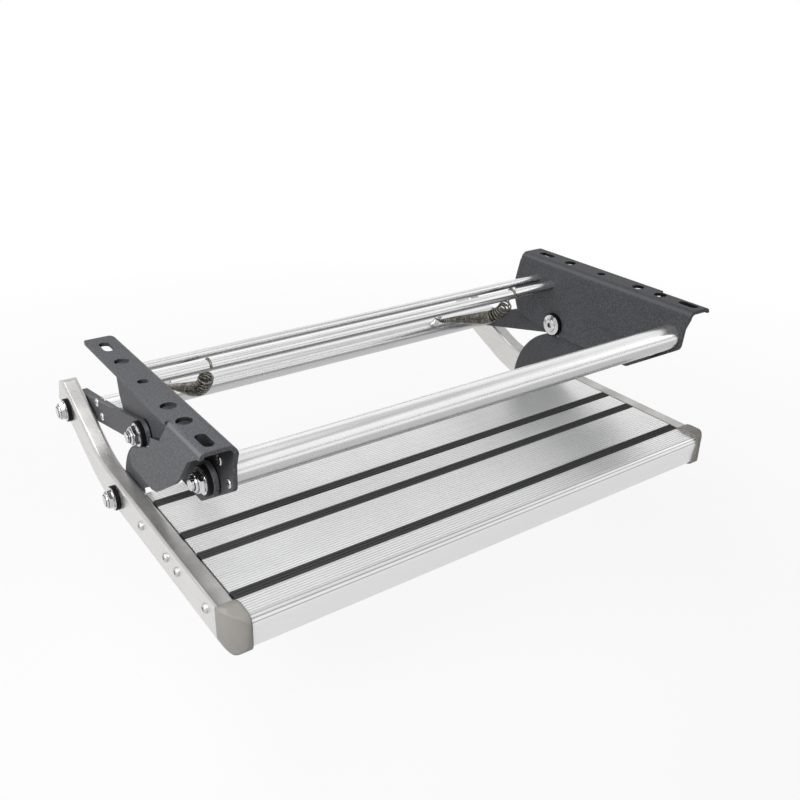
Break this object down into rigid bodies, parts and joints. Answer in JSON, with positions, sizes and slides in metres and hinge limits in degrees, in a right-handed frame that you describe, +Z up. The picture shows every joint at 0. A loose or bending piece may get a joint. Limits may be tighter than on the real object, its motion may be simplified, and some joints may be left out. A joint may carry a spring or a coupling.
{
  "type": "folding entry step",
  "caption": "Fold-out entry step for a caravan: ribbed tread on bent rails, carried by paired link arms from slotted floor brackets, with springs that hold it stowed.",
  "frame": {"origin": "on the mounting plane, the top faces of the bracket flanges, midway between the four round mounting holes", "axes": "+Z up towards the vehicle floor, +Y to the rear of the step, under the vehicle, -Y towards the person who steps on it, +X to the right seen from the front"},
  "size_m": [0.574, 0.4147, 0.1732],
  "materials": {
    "powder_coat": "fine textured powder coat",
    "anodised": "satin anodised",
    "stainless": "bright",
    "nylon": "matt",
    "strip_rubber": "matt",
    "cap_plastic": "satin",
    "spring_steel": "dull"
  },
  "bodies": {
    "brackets": {"left_bracket": "powder_coat", "right_bracket": "powder_coat", "front_cross_tube": "anodised", "front_tube_screws": "stainless", "upper_rod": "stainless", "lower_rod": "stainless", "bracket_pivot_bolts": "stainless", "bracket_pivot_bushes": "nylon", "bracket_pivot_washers": "stainless", "bracket_pivot_nuts": "stainless", "left_spring": "spring_steel", "right_spring": "spring_steel"},
    "rear_links": {"left_rear_link": "powder_coat", "right_rear_link": "powder_coat", "rear_cross_tube": "anodised", "rear_tube_screws": "stainless", "spring_posts": "stainless", "rear_link_bushes": "nylon", "upper_pivot_bolts": "stainless", "upper_pivot_washers": "stainless", "upper_pivot_nuts": "stainless"},
    "front_links": {"left_front_link": "powder_coat", "right_front_link": "powder_coat", "front_link_bushes": "nylon", "lower_pivot_heads": "stainless"},
    "step": {"left_rail": "anodised", "right_rail": "anodised", "tread": "anodised", "grip_strip_1": "strip_rubber", "grip_strip_2": "strip_rubber", "grip_strip_3": "strip_rubber", "grip_strip_4": "strip_rubber", "left_end_cap": "cap_plastic", "right_end_cap": "cap_plastic", "tread_screws": "stainless", "upper_rail_bushes": "nylon", "lower_rail_bushes": "nylon", "lower_pivot_bolts": "stainless", "lower_pivot_washers": "stainless", "lower_pivot_nuts": "stainless"}
  },
  "joints": [
    {"name": "fold", "type": "hinge", "parent": "brackets", "child": "rear_links", "pos_m": [0, 0.0504, -0.0717], "axis": [-1, 0, 0], "range_deg": [0, 128.56], "deforming": ["left_spring", "right_spring"]},
    {"name": "front_link_turn", "type": "hinge", "parent": "brackets", "child": "front_links", "pos_m": [0, -0.0926, -0.0477], "axis": [-1, 0, 0], "range_deg": [0, 96.2]},
    {"name": "step_turn", "type": "hinge", "parent": "rear_links", "child": "step", "pos_m": [0, 0.21641, -0.11168], "axis": [-1, 0, 0], "range_deg": [-128.6, 0]}
  ],
  "couplings": [
    {"joint": "front_link_turn", "follows": "fold", "ratio": 0.74819},
    {"joint": "step_turn", "follows": "fold", "ratio": -1}
  ]
}
